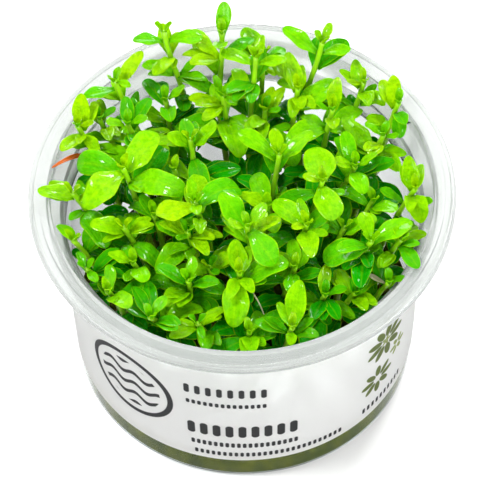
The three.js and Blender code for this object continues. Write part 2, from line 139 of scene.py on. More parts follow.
# Radius and height, up the outside from the middle of the panel to the lip and back down inside.
TUB_OUTSIDE = (
    (0.3, 0.5), (1.4, 0.5), (1.7, 0.8), (33.2, 0.8), (34.0, 0.0), (39.5, 0.0),
    (WALL_FOOT_RADIUS, FOOT_ROUNDING), (41.44, WETTED_TO), (42.96, MILKY_FROM),
    (WALL_TOP_RADIUS, WALL_TOP_HEIGHT), (46.1, 57.2), (46.1, 61.1), (49.6, 61.1), (49.6, 60.0),
    (50.5, 60.0), (50.5, 61.4), (49.9, 62.0),
)
TUB_INSIDE = (
    (49.3, 62.0), (49.1, 61.7), (48.0, 61.7), (47.8, 62.0), (45.2, 62.0), (45.2, 57.65),
    (42.3, 56.45), (42.05, MILKY_FROM), (41.10, WETTED_TO), (40.78, 1.6), (39.45, 0.22),
    (34.15, 0.22), (33.2, 1.7), (0.3, 1.7),
)


def wall_radius(height):
    """Outer radius of the wall: it grows evenly from the foot to the top of the wall."""
    share = (height - FOOT_ROUNDING) / (WALL_TOP_HEIGHT - FOOT_ROUNDING)
    return WALL_FOOT_RADIUS + (WALL_TOP_RADIUS - WALL_FOOT_RADIUS) * share


def softened(profile, radius, steps):
    """A profile whose corners are rounded: each corner point gives way to a short parabola that
    leaves one edge and joins the next at the same distance from the corner, at most 0.4 edge."""
    corner = np.array(profile, float)
    before = np.roll(corner, 1, 0) - corner
    after = np.roll(corner, -1, 0) - corner
    before[0] = corner[1] - corner[0]
    after[-1] = corner[-2] - corner[-1]
    length = np.minimum(np.linalg.norm(before, axis=1), np.linalg.norm(after, axis=1))
    cut = np.minimum(radius, 0.4 * length)[:, None]
    start = corner + cut * before / np.linalg.norm(before, axis=1)[:, None]
    end = corner + cut * after / np.linalg.norm(after, axis=1)[:, None]
    share = np.linspace(0, 1, steps)[None, :, None]
    arc = (1 - share) ** 2 * start[:, None] + 2 * share * (1 - share) * corner[:, None]
    arc = arc + share ** 2 * end[:, None]
    return np.concatenate([corner[:1], arc[1:-1].reshape(-1, 2), corner[-1:]])


def turned(profile, steps):
    """A profile of radius and height turned about Z: point (i, j) lies at radius i and height i of
    the profile, at the angle 2 pi j / steps."""
    angle = np.linspace(0, 2 * np.pi, steps, endpoint=False)[None, :]
    radius, height = profile[:, :1], profile[:, 1:]
    return np.stack([radius * np.cos(angle), radius * np.sin(angle), height + 0 * angle], -1)


def skin_faces(rows, loop):
    """Faces of a tube of rows of points that each close on themselves: a quad between each four
    neighbours, and one flat face over each end."""
    index = np.arange(rows * loop).reshape(rows, loop)
    near, far = index[:-1], index[1:]
    quads = np.stack([near, np.roll(near, -1, 1), np.roll(far, -1, 1), far], -1).reshape(-1, 4)
    return quads.tolist(), [index[0, ::-1].tolist(), index[-1].tolist()]


def add_piece(name, skins, materials, fields=None, picks=None):
    """Joins closed skins, each a grid of points in millimetres, into one smooth mesh object.
    fields holds values at the points for each skin, picks the material of each skin."""
    points, faces, chosen, first = [], [], [], 0
    for grid, pick in zip(skins, picks or [0] * len(skins)):
        quads, ends = skin_faces(*grid.shape[:2])
        own = [[corner + first for corner in face] for face in quads + ends]
        faces += own
        chosen += [pick] * len(own)
        points.append(grid.reshape(-1, 3))
        first += grid.shape[0] * grid.shape[1]
    mesh = bpy.data.meshes.new(name)
    mesh.from_pydata((np.concatenate(points) * MM).tolist(), [], faces)
    mesh.polygons.foreach_set("use_smooth", [True] * len(faces))
    mesh.polygons.foreach_set("material_index", chosen)
    for field, values in (fields or {}).items():
        layer = mesh.attributes.new(field, "FLOAT", "POINT")
        row = np.concatenate([value.ravel() for value in values])
        layer.data.foreach_set("value", row.astype(np.float32))
    for material in materials:
        mesh.materials.append(material)
    mesh.update()
    piece = bpy.data.objects.new(name, mesh)
    bpy.context.scene.collection.objects.link(piece)
    return piece


def add_node(tree, kind, settings=None, **inputs):
    """A shader node with its settings and inputs. An input is a value or another node's socket,
    and goes by its name or, after an underscore, by its number."""
    node = tree.nodes.new(kind)
    for key, value in (settings or {}).items():
        setattr(node, key, value)
    for key, value in inputs.items():
        number = key[1:]
        socket = node.inputs[int(number) if number.isdigit() else key.replace("_", " ")]
        if isinstance(value, bpy.types.NodeSocket):
            tree.links.new(value, socket)
        else:
            socket.default_value = value
    return node


def noise(tree, place, scale, detail, roughness=0.5):
    """Cloudy noise from 0 to 1 at each place."""
    return add_node(tree, "ShaderNodeTexNoise", Vector=place, Scale=scale, Detail=detail,
                    Roughness=roughness).outputs["Fac"]


def raise_surface(tree, height, strength, distance):
    """Makes a material's surface look raised by a height of 0 to 1 over a distance in metres."""
    bump = add_node(tree, "ShaderNodeBump", Strength=strength, Distance=distance, Height=height)
    tree.links.new(bump.outputs["Normal"], tree.nodes["Principled BSDF"].inputs["Normal"])


def mix_in(tree, share, shader):
    """Mixes a share of another shader into a material."""
    mix = add_node(tree, "ShaderNodeMixShader", _0=share,
                   _1=tree.nodes["Principled BSDF"].outputs[0], _2=shader.outputs[0])
    tree.links.new(mix.outputs[0], tree.nodes["Material Output"].inputs["Surface"])


def clear_plastic(name, tint, ripples, **sockets):
    """Clear polypropylene: see-through, a trace blue-green, with faint forming ripples. The light
    of a lamp goes straight through it to the plants."""
    material = plain_material(name, tint, **sockets)
    tree = material.node_tree
    place = add_node(tree, "ShaderNodeTexCoord").outputs["Object"]
    raise_surface(tree, noise(tree, place, 90.0, 2.0), ripples, 0.0004)
    lamp_ray = add_node(tree, "ShaderNodeLightPath").outputs["Is Shadow Ray"]
    mix_in(tree, lamp_ray, add_node(tree, "ShaderNodeBsdfTransparent", Color=tint))
    return material


clear_wall = clear_plastic("clear_wall", CLEAR_TINT, 0.1, Roughness=0.06, IOR=1.49,
                           Transmission_Weight=1.0)
milky_rim = clear_plastic("milky_rim", MILKY_TINT, 0.03, Roughness=0.20, IOR=1.25,
                          Transmission_Weight=0.72)
# The gel wets the foot of the wall, so the two reflect as hardly more than one surface there.
wetted_foot = clear_plastic("wetted_foot", CLEAR_TINT, 0.1, Roughness=0.06, IOR=1.07,
                            Transmission_Weight=1.0)

tub_profile = softened(TUB_OUTSIDE + TUB_INSIDE, CORNER_RADIUS, CORNER_STEPS)
tub = add_piece("tub_clear", [turned(tub_profile, ROUND_STEPS)],
                [clear_wall, milky_rim, wetted_foot])
middles = np.zeros(3 * len(tub.data.polygons), np.float32)
tub.data.polygons.foreach_get("center", middles)
middle_height = middles.reshape(-1, 3)[:, 2] / MM
tub.data.polygons.foreach_set("material_index", np.select(
    [middle_height > MILKY_FROM, middle_height < WETTED_TO], [1, 2], 0).astype(np.int32))
tub.data.set_sharp_from_angle(angle=TUB_CREASE)
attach(tub, "root")
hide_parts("tub")


# The sleeve is a strip of white film, printed in dark grey and green, wrapped once round the wall
# and glued where its end laps over its start at the back.
FILM_THICKNESS, FILM_PLAY = 0.22, 0.06
FILM_BOTTOM, FILM_MIDDLE, FILM_TOP = 8.6, 30.0, 51.5
FILM_START, LAP, LAP_RISE = radians(90), radians(14), radians(2)
FILM_STEPS = 260
FILM_CREASE = radians(40)
FILM_WHITE = (0.925, 0.925, 0.92, 1.0)
FILM_BACK = (0.97, 0.97, 0.965, 1.0)
FILM_THROUGH = 0.72
PRINT_GREY = (0.028, 0.029, 0.032, 1.0)
PRINT_GREEN = (0.15, 0.20, 0.03, 1.0)
PRINT_LIME = (0.34, 0.40, 0.12, 1.0)
SOFT_EDGE = 0.15

# Rows of beads: the angle round the tub where a row starts, with -90 at the front, its height, how
# many beads, and their pitch, width and height.
BEAD_ROWS = (
    (-111.0, 39.6, 8, 2.6, 1.35, 3.8), (-110.0, 33.9, 14, 1.4, 0.9, 1.8),
    (-110.5, 22.0, 9, 3.1, 1.9, 5.2), (-109.0, 15.6, 19, 1.4, 0.9, 2.1),
    (-108.0, 11.3, 27, 1.4, 0.85, 1.9), (-48.5, 12.4, 10, 1.6, 0.9, 2.2),
)
# Rosettes: angle, height, how many leaves, how far out their middles are, and half their length
# and width.
GREEN_ROSETTES = ((-38.5, 37.0, 9, 4.3, 2.5, 1.15), (-41.5, 22.5, 8, 3.5, 2.1, 1.0))
LIME_ROSETTES = ((-38.5, 37.0, 5, 1.0, 0.9, 0.5), (-31.0, 28.6, 6, 2.0, 1.3, 0.7))
# The round mark: a ring, and waves inside it.
MARK_ANGLE, MARK_HEIGHT = -131, 30.0
RING_RADIUS, WAVES_RADIUS, HALF_LINE = 11.6, 8.9, 0.75
WAVE_GAP, WAVE_SWELL, WAVE_TURN = 2.25, 0.9, 0.9


def wrapped_film():
    """A strip carried once round the wall and a lap further: its angle grows evenly along it, and
    its radius is the wall's at each height, plus the film's own thickness on the lap."""
    angle = np.linspace(0, 2 * np.pi + LAP, FILM_STEPS)[:, None]
    lapped = np.clip((angle - 2 * np.pi + LAP_RISE) / LAP_RISE, 0, 1)
    lift = FILM_PLAY + (FILM_THICKNESS + FILM_PLAY) * lapped * lapped * (3 - 2 * lapped)
    outward = np.array([[0.0, FILM_THICKNESS, FILM_THICKNESS, 0.0]])
    height = np.array([[FILM_TOP, FILM_TOP, FILM_BOTTOM, FILM_BOTTOM]])
    radius = wall_radius(height) + lift + outward
    turn = FILM_START + angle
    grid = np.stack([radius * np.cos(turn), radius * np.sin(turn), height + 0 * turn], -1)
    across = (height - FILM_BOTTOM) / (FILM_TOP - FILM_BOTTOM) + 0 * angle
    return grid, angle / (2 * np.pi) + 0 * height, across


def let_light_through(tree, colour, share):
    """Mixes a share of light that comes through from behind into a material, in a colour."""
    mix_in(tree, share, add_node(tree, "ShaderNodeBsdfTranslucent", Color=colour))


def maths(tree, operation, a, b=0.0, c=0.0):
    """The result of one sum, on values or sockets."""
    return add_node(tree, "ShaderNodeMath", {"operation": operation}, _0=a, _1=b, _2=c).outputs[0]


def ranged(tree, value, low, high, to_low=0.0, to_high=1.0):
    """A value carried from one range to another and held at its ends."""
    return add_node(tree, "ShaderNodeMapRange", Value=value, From_Min=low, From_Max=high,
                    To_Min=to_low, To_Max=to_high).outputs[0]


def colour_mix(tree, share, first, second):
    """The colour between two others by a share of the second."""
    return add_node(tree, "ShaderNodeMix", {"data_type": "RGBA"}, Factor=share, _6=first,
                    _7=second).outputs[2]


class PrintSheet:
    """Draws plain shapes of ink by node maths, on the millimetres along and up the sleeve."""

    def __init__(self, tree, along, height):
        self.tree, self.along, self.height = tree, along, height
        self.maths = partial(maths, tree)

    def ink(self, distance):
        """Full ink where a distance to a shape is below nought, over a soft 0.15 mm edge."""
        return ranged(self.tree, distance, SOFT_EDGE / 2, -SOFT_EDGE / 2)

    def length_of(self, a, b):
        """The length of two legs at right angles: the root of the sum of their squares."""
        return self.maths("SQRT", self.maths(
            "ADD", self.maths("MULTIPLY", a, a), self.maths("MULTIPLY", b, b)))

    def beads(self, start, height, count, pitch, width, tall):
        """A row of upright beads with round ends. Along the row the distance is to the middle of
        the nearest bead, and up the sleeve it is past the straight part of a bead."""
        run = self.maths("SUBTRACT", self.along, start)
        number = self.maths("FLOOR", self.maths("DIVIDE", run, pitch))
        number = self.maths("MINIMUM", self.maths("MAXIMUM", number, 0.0), count - 1.0)
        middle = self.maths("MULTIPLY", self.maths("ADD", number, 0.5), pitch)
        off = self.maths("SUBTRACT", run, middle)
        rise = self.maths("ABSOLUTE", self.maths("SUBTRACT", self.height, height))
        over = self.maths("MAXIMUM", self.maths("SUBTRACT", rise, (tall - width) / 2), 0.0)
        return self.ink(self.maths("SUBTRACT", self.length_of(off, over), width / 2))

    def radius_from(self, along, height):
        """How far along, how far up and how far in all from a point of the sleeve."""
        run = self.maths("SUBTRACT", self.along, along)
        rise = self.maths("SUBTRACT", self.height, height)
        return run, rise, self.length_of(run, rise)

    def rosette(self, along, height, leaves, middle, length, width):
        """A ring of oval leaves: the bearing is wrapped to one leaf's share of the ring, and each
        leaf is the inside of an ellipse of half that length and width round the ring's middle."""
        run, rise, far = self.radius_from(along, height)
        share = np.pi / leaves
        swing = self.maths("WRAP", self.maths("ARCTAN2", rise, run), share, -share)
        aside = self.maths("DIVIDE", self.maths("MULTIPLY", far, swing), width)
        outward = self.maths("DIVIDE", self.maths("SUBTRACT", far, middle), length)
        oval = self.maths("SUBTRACT", self.length_of(aside, outward), 1.0)
        return self.ink(self.maths("MULTIPLY", oval, width))

    def wave_mark(self, along, height):
        """A ring, and inside it lines one above the other that swell up and down as a sine."""
        run, rise, far = self.radius_from(along, height)
        ring = self.maths("ABSOLUTE", self.maths("SUBTRACT", far, RING_RADIUS))
        swell = self.maths("SINE", self.maths("MULTIPLY", run, WAVE_TURN))
        level = self.maths("SUBTRACT", rise, self.maths("MULTIPLY", swell, WAVE_SWELL))
        # Ten gaps are added, so that the nearest line is found from a height above nought.
        nearest = self.maths("PINGPONG", self.maths("ADD", level, 10 * WAVE_GAP), WAVE_GAP)
        wave = self.maths("MAXIMUM", self.maths("SUBTRACT", nearest, HALF_LINE),
                          self.maths("SUBTRACT", far, WAVES_RADIUS))
        return [self.ink(self.maths("SUBTRACT", ring, HALF_LINE)), self.ink(wave)]

    def printed(self, ink, shapes, under):
        """A colour with ink over it in each of some shapes."""
        total = shapes[0]
        for shape in shapes[1:]:
            total = self.maths("MAXIMUM", total, shape)
        return colour_mix(self.tree, total, under, ink)


def printed_film():
    """White film with rows of beads, a round mark of waves, and three rosettes of oval leaves."""
    material = plain_material("printed_film", FILM_WHITE, Roughness=0.42, Coat_Weight=0.15,
                              Coat_Roughness=0.2)
    tree = material.node_tree
    layout = add_node(tree, "ShaderNodeUVMap", {"uv_map": "print"}).outputs["UV"]
    share = add_node(tree, "ShaderNodeSeparateXYZ", Vector=layout).outputs
    mean_radius = wall_radius(FILM_MIDDLE)
    sheet = PrintSheet(
        tree, maths(tree, "MULTIPLY", share["X"], 2 * np.pi * mean_radius),
        maths(tree, "MULTIPLY_ADD", share["Y"], FILM_TOP - FILM_BOTTOM, FILM_BOTTOM))

    def along_at(degrees):
        """Millimetres along the film at an angle round the tub, with -90 at the front."""
        return radians(degrees + 360 - 90) * mean_radius

    grey = [sheet.beads(along_at(turn), *row) for turn, *row in BEAD_ROWS]
    grey += sheet.wave_mark(along_at(MARK_ANGLE), MARK_HEIGHT)
    green = [sheet.rosette(along_at(turn), *row) for turn, *row in GREEN_ROSETTES]
    lime = [sheet.rosette(along_at(turn), *row) for turn, *row in LIME_ROSETTES]
    colour = sheet.printed(PRINT_GREEN, green, FILM_WHITE)
    colour = sheet.printed(PRINT_LIME, lime, colour)
    colour = sheet.printed(PRINT_GREY, grey, colour)
    tree.links.new(colour, tree.nodes["Principled BSDF"].inputs["Base Color"])
    let_light_through(tree, colour, FILM_THROUGH)
    return material


film_grid, film_along, film_up = wrapped_film()
film_back = plain_material("film_back", FILM_BACK, Roughness=0.55)
let_light_through(film_back.node_tree, FILM_BACK, FILM_THROUGH)
sleeve = add_piece("printed_sleeve", [film_grid], [printed_film(), film_back])
corners = np.zeros(len(sleeve.data.loops), np.int32)
sleeve.data.loops.foreach_get("vertex_index", corners)
flat_place = np.stack([film_along.ravel(), film_up.ravel()], -1)[corners]
print_layout = sleeve.data.uv_layers.new(name="print")
print_layout.data.foreach_set("uv", flat_place.ravel().astype(np.float32))
# Each row of the strip has four faces, and the second of them looks outwards. The last two faces
# are the strip's cut ends.
outer_face = np.arange(len(sleeve.data.polygons)) % 4 == 1
outer_face[-2:] = False
sleeve.data.polygons.foreach_set("material_index", np.where(outer_face, 0, 1).astype(np.int32))
sleeve.data.set_sharp_from_angle(angle=FILM_CREASE)
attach(sleeve, "root")
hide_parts("label_sleeve")


# The nutrient gel is a disc of set jelly poured into the foot of the tub. It creeps up the wall in
# a low rim, and it is olive and cloudy with roots.
GEL_TOP = 12.0
GEL_PROFILE = (
    (0.3, 1.76), (33.3, 1.76), (34.25, 0.27), (39.42, 0.27), (40.73, 1.62), (41.05, 12.9),
    (40.1, 12.25), (38.0, 11.95), (0.3, 11.9),
)
GEL_CORNER_RADIUS = 0.6
GEL_DEEP = (0.025, 0.034, 0.002, 1.0)
GEL_PALE = (0.085, 0.088, 0.008, 1.0)


def cloudy_gel():
    """Olive jelly, too full of roots to see through, clouded by noise drawn out upwards and
    darker towards the foot."""
    material = plain_material("cloudy_gel", GEL_DEEP, Roughness=0.4, IOR=1.34,
                              Specular_IOR_Level=0.05)
    tree = material.node_tree
    place = add_node(tree, "ShaderNodeTexCoord").outputs["Object"]
    drawn = add_node(tree, "ShaderNodeMapping", Vector=place, Scale=(1.0, 1.0, 0.35)).outputs[0]
    height = add_node(tree, "ShaderNodeSeparateXYZ", Vector=place).outputs["Z"]
    paler = ranged(tree, height, 0.001, 0.010, 0.72, 1.05)
    cloud = maths(tree, "MULTIPLY", noise(tree, drawn, 260.0, 5.0, 0.6), paler)
    ramp = add_node(tree, "ShaderNodeValToRGB", Fac=cloud)
    deep, pale = ramp.color_ramp.elements
    deep.position, deep.color = 0.36, GEL_DEEP
    pale.position, pale.color = 0.66, GEL_PALE
    tree.links.new(ramp.outputs["Color"], tree.nodes["Principled BSDF"].inputs["Base Color"])
    return material


gel_profile = softened(GEL_PROFILE, GEL_CORNER_RADIUS, CORNER_STEPS)
gel = add_piece("gel_disc", [turned(gel_profile, ROUND_STEPS)], [cloudy_gel()])
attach(gel, "root")
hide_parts("nutrient_gel")


# Each shoot of bacopa grew as one piece: fine roots in the gel, a round juicy stem, pairs of
# stalkless oval leaves, each pair turned a quarter from the last, and a bud of small cupped leaves.
ROOT_END = 5.0
ROOT_SPREAD = 0.72
LEAF_BASE = 0.75
LEAF_CLEARANCE, STEM_CLEARANCE = 1.25, 0.8
OWN_STEM_CLEARANCE, OWN_STEM_FROM, LEAST_AHEAD = 1.5, 0.35, 1.6
STEEPEST, MOST_OFF_SIDE = 66, 42
HEAD_LEAN, LOWEST_DROOP = 26, -72
BEND_SHARE, BOW = 0.22, 2.0
HAND_CURL = 0.25
GOLDEN = (5 ** 0.5 - 1) / 2

# Leaf pairs counted down from the tip: how far below the tip a pair sits, its leaves' length, and
# the slope of a leaf where it leaves the stem and at its end.
PAIRS = (
    (0.8, 5.0, 72, 44), (3.0, 8.6, 56, -2), (7.4, 11.0, 44, -30), (13.4, 12.0, 32, -40),
    (20.0, 11.5, 22, -40), (28.0, 10.5, 14, -38), (36.0, 9.5, 8, -34),
)
SOLID_PAIRS = 4

# Each shoot: the place of its tip, the turn of its tip pair about Z, its leaf size and the length
# of its joints against the common ones, and the leaves that grow in a way of their own as pair,
# side, azimuth, length, width, rise and droop.
SHOOTS = (
    ((-4, 37, 76), 0, 0.9, 1.0, ((1, 0, 85, 9, 4, 78, 60), (1, 1, 265, 7, 4, 60, 20),
                                 (2, 1, 20, 7, 3.5, 60, 30), (3, 1, 139, 13, 5.5, 60, 15))),
    ((-18, 39, 74.5), 90, 0.9, 1.0, ((1, 0, 180, 7.5, 4, 30, -25), (1, 1, 0, 8.5, 4.5, 35, -15),
                                   (2, 1, 110, 9, 4.5, 75, 60))),
    ((-30, 28, 70), -40, 0.9, 0.9, ((1, 0, 50, 10, 4, 45, 25), (1, 1, 190, 8, 4, 20, -10),
                                    (2, 0, 150, 7, 4, 20, -20))),
    ((-39, 17, 67), -5, 0.9, 1.0, ((1, 0, 85, 9, 4.6, 60, 35), (2, 0, 160, 5, 4.5, 30, 10))),
    ((-40, -2, 66), 80, 1.0, 1.0, ((1, 0, 172, 9, 5, 35, -5), (2, 1, 60, 8, 5, 40, 0))),
    ((-28, 2, 70), -40, 1.2, 0.8, ((1, 0, 50, 12, 7.5, 35, -10), (1, 1, 220, 13, 8, 20, -40))),
    ((-12, 10, 70), -90, 1.0, 1.0, ((1, 0, 5, 9, 6, 65, 40), (1, 1, 175, 9, 6, 65, 40))),
    ((4, 31, 74), 60, 0.9, 0.9, ((1, 1, 0, 7, 4, 30, -10), (1, 0, 150, 8, 4.5, 40, 10),
                                 (2, 1, 60, 7, 4, 60, 45))),
    ((20, 35, 74), 60, 0.9, 1.1, ((1, 0, 150, 10, 5, 30, 10), (1, 1, 0, 7, 3.5, 30, -5),
                                  (2, 1, 25, 10, 6.5, 35, 10), (2, 0, 210, 11, 4.5, 60, 35))),
    ((38, 21, 68), 0, 0.9, 1.0, ((1, 0, 110, 8, 4, 70, 45), (1, 1, 280, 7, 4, 20, -40))),
    ((34, 13, 66), -30, 0.9, 1.0, ((1, 0, 95, 8, 5, 65, 40), (2, 0, 145, 12, 5.5, 60, 30))),
    ((22, 18, 70), 0, 0.9, 1.0, ((1, 0, 60, 9, 4, 50, 25), (2, 1, 20, 12, 6, 40, -20))),
    ((41, -3, 66), 0, 1.0, 0.9, ((1, 0, 95, 9, 4.5, 70, 50), (1, 1, 285, 7, 5, 0, -50))),
    ((19, -3, 70), 0, 1.15, 0.8, ((1, 0, 95, 9, 8, 30, 0), (1, 1, 285, 9, 7, 10, -40))),
    ((9, 5, 70), 90, 1.0, 1.0, ((1, 0, 150, 11, 5, 40, 5), (1, 1, 20, 10, 4.5, 40, 5),
                                (2, 1, 65, 8, 5, 50, 20))),
    ((27, 4, 66), 0, 1.1, 0.8, ()),
    ((1, -17, 72), 30, 1.2, 0.8, ((1, 0, 130, 10, 6.5, 40, 10), (1, 1, 310, 10, 7, 0, -40))),
    ((-11, -10, 72), 100, 1.1, 0.9, ((1, 1, 20, 13, 7, 45, -60), (1, 0, 190, 9, 6.5, 15, -20))),
    ((-13, -14, 66), 60, 1.0, 1.0, ()),
    ((-28, -11, 64), 100, 0.9, 1.0, ()),
    ((-40, -13, 62), 60, 1.0, 1.0, ()),
    ((-32, -27, 61), 20, 1.0, 0.9, ()),
    ((-26, -19, 61), 0, 1.0, 1.0, ()),
    ((-13, -26, 63), 60, 1.0, 1.0, ()),
    ((-22, -34, 60), 40, 1.1, 1.0, ()),
    ((-11, -36, 60), 100, 0.8, 1.0, ()),
    ((-8, -20, 60), 120, 1.0, 1.0, ()),
    ((-1, -26, 66), 0, 1.0, 0.9, ((1, 1, 270, 12, 7, 0, -60), (1, 0, 95, 8, 5, 50, 20))),
    ((15, -14, 68), 30, 1.0, 1.0, ()),
    ((12, -22, 62), 160, 0.9, 1.0, ()),
    ((30, -18, 66), 90, 1.2, 0.8, ((1, 0, 200, 11, 8, 15, -35), (1, 1, 10, 11, 6, 30, -30))),
    ((37, -17, 65), 60, 1.0, 0.9, ((1, 1, 300, 9, 4, 10, -45),)),
    ((19, -28, 59), 0, 1.0, 1.0, ()),
    ((26, -27, 58), 40, 1.0, 1.0, ()),
    ((11, -39, 62), 0, 0.9, 0.8, ((1, 0, 60, 11, 5.5, 65, 35), (1, 1, 290, 7, 4, 20, -30),
                                  (2, 0, 165, 8, 4, 30, 0))),
    ((1, -38, 59), 10, 0.9, 1.0, ()),
    ((24, -11, 62), 70, 1.0, 1.0, ()),
    ((31, -4, 63), 30, 1.0, 1.0, ()),
    ((-18, 28, 62), 10, 1.0, 1.0, ()),
    ((-27, 18, 66), 0, 1.0, 1.0, ()),
    ((-4, 26, 66), 120, 1.0, 1.0, ()),
    ((6, 23, 64), 150, 1.0, 1.0, ()),
    ((14, 26, 68), 10, 1.0, 0.9, ((1, 0, 100, 10, 5, 70, 50),)),
    ((-16, 5, 65), 150, 1.0, 1.0, ()),
    ((6, -6, 64), 0, 1.1, 1.0, ()),
    ((-21, -6, 62), 20, 1.0, 1.0, ()),
    ((34, -25, 59), 10, 0.9, 1.0, ()),
    ((-37, -20, 60), 110, 0.9, 1.0, ()),
    ((-34, 22, 63), 30, 0.9, 1.0, ()),
    ((30, 29, 66), 20, 0.9, 1.0, ()),
    ((6, 38, 67), 45, 0.9, 1.0, ()),
)


def spread(shoot, pair, side, measure):
    """A number from -1 to 1 that differs from leaf to leaf, by the golden-ratio sequence."""
    return ((shoot * 37 + pair * 11 + side * 5 + measure * 3) * GOLDEN) % 1 * 2 - 1


def stem_path(owner, height):
    """The middle of a stem at some heights: upright in the gel, then leaning out from the middle
    of the tub as the square of the height above the gel, and bowed aside by a squared sine."""
    tip = SHOOTS[owner][0]
    share = np.clip((height - GEL_TOP) / (tip[2] - GEL_TOP), 0, None)
    bend = ROOT_SPREAD + (1 - ROOT_SPREAD) * share ** 2
    bow = np.sin(np.pi * np.clip((share - BEND_SHARE) / (1 - BEND_SHARE), 0, 1)) ** 2
    return np.stack([tip[0] * bend + BOW * spread(owner, 0, 0, 20) * bow,
                     tip[1] * bend + BOW * spread(owner, 0, 0, 21) * bow, height + 0 * bend], -1)


def node_height(owner, pair):
    """The height of a pair of leaves on its stem."""
    tip, turn, size, joint, own = SHOOTS[owner]
    uneven = 1 + (0.12 * spread(owner, pair, 0, 12) if pair else 0)
    return tip[2] - PAIRS[pair][0] * joint * uneven


def midline(leaf, along):
    """The midrib of a leaf, an arc whose slope changes evenly from rise to droop: how far out and
    how far up it is, and its slope, at each share of its length."""
    start = radians(leaf["rise"])
    turn = radians(leaf["droop"] - leaf["rise"])
    slope = start + turn * along
    out = leaf.get("start", LEAF_BASE) + leaf["length"] * (np.sin(slope) - np.sin(start)) / turn
    rise = -leaf["length"] * (np.cos(slope) - np.cos(start)) / turn
    return out, rise, slope


def on_leaf(leaf, along, aside, lift):
    """Points beside and above the midrib of a leaf, in millimetres, at each share of its length,
    on a blade that rolls about the midrib evenly towards its tip."""
    out, rise, slope = midline(leaf, along)
    roll = radians(leaf["roll"]) * along
    aside, lift = (aside * np.cos(roll) - lift * np.sin(roll),
                   aside * np.sin(roll) + lift * np.cos(roll))
    reach = out - lift * np.sin(slope)
    heading = radians(leaf["azimuth"])
    return np.stack([
        leaf["base"][0] + reach * np.cos(heading) - aside * np.sin(heading),
        leaf["base"][1] + reach * np.sin(heading) + aside * np.cos(heading),
        leaf["base"][2] + rise + lift * np.cos(slope)], -1)


SAMPLE_ROWS, SAMPLE_COLUMNS = 12, 7
SAMPLE_ALONG = np.repeat(np.linspace(0, 1, SAMPLE_ROWS), SAMPLE_COLUMNS)


def leaf_samples(leaf):
    """Rows of points over a leaf as a simple oval blade, to test its room by."""
    along = np.linspace(0, 1, SAMPLE_ROWS)[:, None]
    across = np.linspace(-1, 1, SAMPLE_COLUMNS)[None, :]
    half = leaf["width"] / 2 * np.sqrt(np.clip(np.sin(np.pi * (0.06 + 0.94 * along)), 0, None))
    return on_leaf(leaf, along + 0 * across, half * across, leaf["curl"] * half * across ** 2)


WALL_AIR = 0.5
COLLAR_FROM, COLLAR_ROOM = 57.5, 44.5
RIM_FROM, RIM_ROOM, RIM_ROOM_BY_HAND = 62.6, 45.5, 49.8


def room_at(height, by_hand):
    """How far from the axis a leaf may reach: inside the wall, the collar, or the rim. Only the
    leaves that are listed one by one reach out over the rim."""
    wall = wall_radius(height) - SHEET - WALL_AIR
    above = np.where(height < RIM_FROM, COLLAR_ROOM, RIM_ROOM_BY_HAND if by_hand else RIM_ROOM)
    return np.where(height < COLLAR_FROM, wall, above)


# The points of all that has grown, and for each its owner, its share of a leaf's length, and the
# clearance that it adds.
MOST_POINTS = 180000
grown_points = np.zeros((MOST_POINTS, 3))
grown_facts = np.zeros((MOST_POINTS, 3))
grown_count = 0


def remember(points, owner, along, clearance):
    """Keeps the points of a stem or leaf, so that every new leaf stays clear of them."""
    global grown_count
    last = grown_count + len(points)
    grown_points[grown_count:last] = points
    grown_facts[grown_count:last, 0] = owner
    grown_facts[grown_count:last, 1] = along
    grown_facts[grown_count:last, 2] = clearance
    grown_count = last


BASE_ROWS, BASE_SHARE = 2, 0.3
NEARBY = 2.2


def is_clear(samples, leaf, owner):
    """True if a leaf, but for its base, is in the room of the tub, in front of the side of the stem
    that it grows from, and clear of all that has grown. A side leaf may touch its own shoot."""
    places = samples[BASE_ROWS:].reshape(-1, 3)
    if np.any(np.hypot(places[:, 0], places[:, 1]) > room_at(places[:, 2], leaf["by_hand"])):
        return False
    outer = SAMPLE_ALONG[BASE_ROWS * SAMPLE_COLUMNS:] > OWN_STEM_FROM
    front = radians(leaf["facing"])
    ahead = (places[:, :2] - leaf["base"][:2]) @ (np.cos(front), np.sin(front))
    if np.any(ahead[outer] < LEAST_AHEAD):
        return False
    low, high = places.min(0) - NEARBY, places.max(0) + NEARBY
    other, facts = grown_points[:grown_count], grown_facts[:grown_count]
    near = np.all((other > low) & (other < high), 1)
    other, facts = other[near], facts[near]
    own_base = (facts[:, 0] == owner) & (facts[:, 1] < BASE_SHARE)
    limit = np.where(own_base, OWN_STEM_CLEARANCE, LEAF_CLEARANCE + facts[:, 2])
    close = ((places[:, None] - other[None]) ** 2).sum(-1) < limit ** 2
    close &= outer[:, None] | ~own_base
    if leaf["is_side"]:
        close &= facts[:, 0] != owner
    return not np.any(close)


# What a leaf tries in turn for room: degrees aside and up at each of three sizes.
SWINGS = (
    (0, 0), (12, 0), (-12, 0), (0, 14), (0, -14), (14, 14), (-14, 14), (14, -14), (-14, -14),
    (26, 0), (-26, 0), (0, 28), (0, -28), (26, 20), (-26, 20),
)
SHRINKS = (1, 0.85, 0.7)


